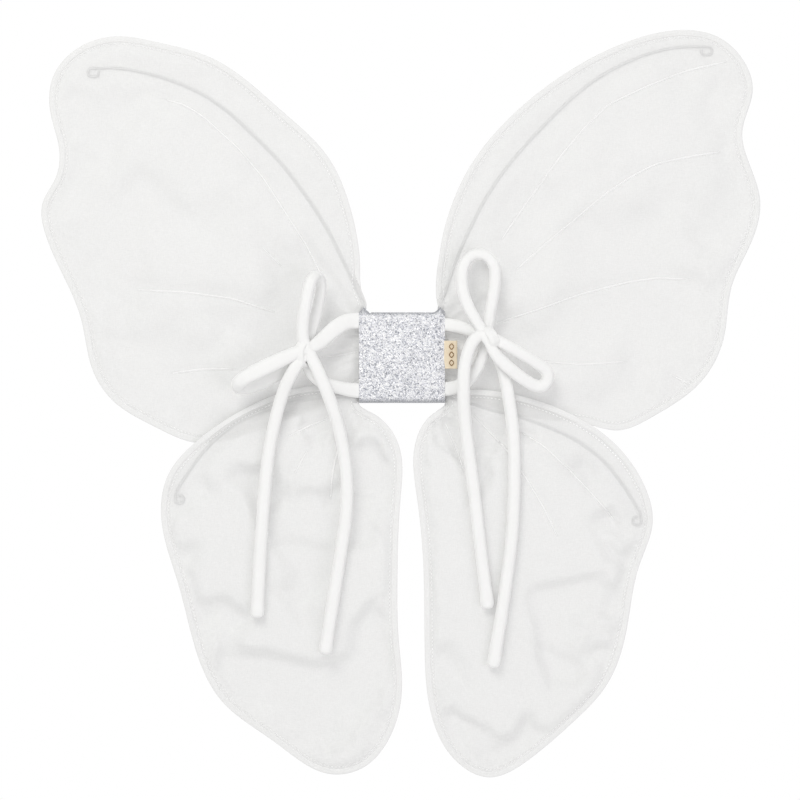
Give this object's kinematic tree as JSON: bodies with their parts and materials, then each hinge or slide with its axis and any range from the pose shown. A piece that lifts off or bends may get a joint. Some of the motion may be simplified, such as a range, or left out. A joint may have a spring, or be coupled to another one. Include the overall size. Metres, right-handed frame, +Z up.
{
  "type": "fairy wings",
  "caption": "Dress-up butterfly wings: voile wings on bent wires, a glitter-covered block that rests between the shoulder blades, and rouleau ties in bows; each side folds back.",
  "frame": {"origin": "centre of the block's flat face that rests against the wearer's back", "axes": "+Z up along the wings' height, +X from the left wings to the right wings as seen from the tie side, -Y towards the wearer"},
  "size_m": [0.4798, 0.0333, 0.4983],
  "materials": {
    "voile": "semi-sheer plain weave",
    "voile_seam": "two turned-in layers of the same weave",
    "wire": "bright drawn wire",
    "silver_glitter": "coarse glitter on a silver ground",
    "pad_felt": "stiff felt",
    "casing_tape": "woven cotton tape",
    "tie_cotton": "soft matt rouleau",
    "label_tape": "woven satin-edge tape with a plain metallic motif",
    "thread": "spun polyester thread"
  },
  "bodies": {
    "block": {"core_pad": "pad_felt", "glitter_cover": "silver_glitter", "cover_seam_stitches": "thread", "side_label": "label_tape", "left_wire_casing": "casing_tape", "right_wire_casing": "casing_tape", "left_upper_strap": "tie_cotton", "left_lower_strap": "tie_cotton", "left_upper_loop": "tie_cotton", "left_side_loop": "tie_cotton", "left_front_tail": "tie_cotton", "left_back_tail": "tie_cotton", "right_upper_strap": "tie_cotton", "right_lower_strap": "tie_cotton", "right_upper_loop": "tie_cotton", "right_side_loop": "tie_cotton", "right_front_tail": "tie_cotton", "right_back_tail": "tie_cotton", "left_bow_knot": "tie_cotton", "right_bow_knot": "tie_cotton"},
    "left_wings": {"left_wing_wire": "wire", "upper_left_front_voile": "voile", "upper_left_back_voile": "voile", "upper_left_edge_seam": "voile_seam", "lower_left_front_voile": "voile", "lower_left_back_voile": "voile", "lower_left_edge_seam": "voile_seam"},
    "right_wings": {"right_wing_wire": "wire", "upper_right_front_voile": "voile", "upper_right_back_voile": "voile", "upper_right_edge_seam": "voile_seam", "lower_right_front_voile": "voile", "lower_right_back_voile": "voile", "lower_right_edge_seam": "voile_seam"}
  },
  "joints": [
    {"name": "left_wing_fold", "type": "hinge", "parent": "block", "child": "left_wings", "pos_m": [-0.0245, 0.0075, 0], "axis": [0, 0, -1], "range_deg": [0, 80]},
    {"name": "right_wing_fold", "type": "hinge", "parent": "block", "child": "right_wings", "pos_m": [0.0245, 0.0075, 0], "axis": [0, 0, 1], "range_deg": [0, 80]}
  ]
}
